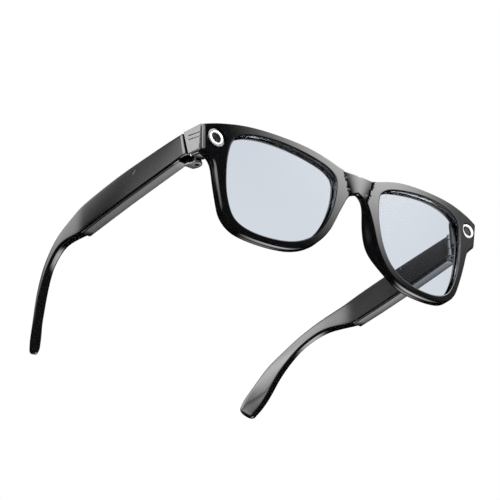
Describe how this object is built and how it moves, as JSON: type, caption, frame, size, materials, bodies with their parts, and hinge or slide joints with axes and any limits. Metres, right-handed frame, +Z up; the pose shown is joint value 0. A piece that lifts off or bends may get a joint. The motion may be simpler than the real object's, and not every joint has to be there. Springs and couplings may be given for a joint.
{
  "type": "smart glasses",
  "caption": "Square-rimmed smart glasses with tinted lenses, a camera and a light at the front ends, and thick folding temples holding electronics.",
  "frame": {"origin": "centre of the bounding box in plan, on the surface the rims and temple tips stand on", "axes": "+X to the wearer's left, +Y from the face of the glasses back to the ears, +Z up; temples open"},
  "size_m": [0.1514, 0.1548, 0.0466],
  "materials": {
    "gloss_black": "polished",
    "satin_black": "satin",
    "grey_trim": "satin",
    "tinted_lens": "polished",
    "bright_ring": "polished",
    "dark_glass": "polished",
    "lens_barrel": "satin",
    "steel": "brushed",
    "board_green": "solder mask",
    "flex_amber": "film",
    "cell_foil": "foil",
    "speaker_body": "moulded",
    "mesh_black": "mesh",
    "contact_gold": "plated",
    "light_diffuser": "frosted"
  },
  "bodies": {
    "front": {"front_shell": "gloss_black", "rear_shell": "satin_black", "lens_left": "tinted_lens", "lens_right": "tinted_lens", "front_flex": "flex_amber", "camera_ring": "bright_ring", "camera_window": "dark_glass", "camera_barrel": "lens_barrel", "camera_board": "board_green", "light_ring": "bright_ring", "light_window": "light_diffuser", "light_board": "board_green", "side_plate_left": "grey_trim", "side_plate_right": "grey_trim", "front_leaf_left": "steel", "front_leaf_right": "steel", "hinge_screw_left": "steel", "hinge_screw_right": "steel"},
    "temple_left": {"temple_shell_left": "satin_black", "bottom_cover_left": "satin_black", "mic_port_left": "mesh_black", "speaker_grille_left": "mesh_black", "speaker_left": "speaker_body", "antenna_left": "contact_gold", "tip_core_left": "steel", "temple_leaf_left": "steel", "battery_left": "cell_foil"},
    "temple_right": {"temple_shell_right": "satin_black", "bottom_cover_right": "satin_black", "mic_port_right": "mesh_black", "speaker_grille_right": "mesh_black", "speaker_right": "speaker_body", "antenna_right": "contact_gold", "tip_core_right": "steel", "temple_leaf_right": "steel", "battery_right": "cell_foil", "main_board_right": "board_green", "touch_sensor_right": "flex_amber", "contact_front": "contact_gold", "contact_rear": "contact_gold"},
    "button": {"capture_button": "grey_trim"}
  },
  "joints": [
    {"name": "temple_left_fold", "type": "hinge", "parent": "front", "child": "temple_left", "pos_m": [0.0673, -0.05752, 0.03688], "axis": [0, 0.0387, 0.9992], "range_deg": [0, 86]},
    {"name": "temple_right_fold", "type": "hinge", "parent": "front", "child": "temple_right", "pos_m": [-0.0673, -0.05752, 0.03688], "axis": [0, -0.0387, -0.9992], "range_deg": [0, 72]},
    {"name": "capture_press", "type": "slide", "parent": "temple_right", "child": "button", "axis": [0, -0.0387, -0.9992], "range_m": [0, 0.0004], "stiffness_N_per_m": 500}
  ]
}
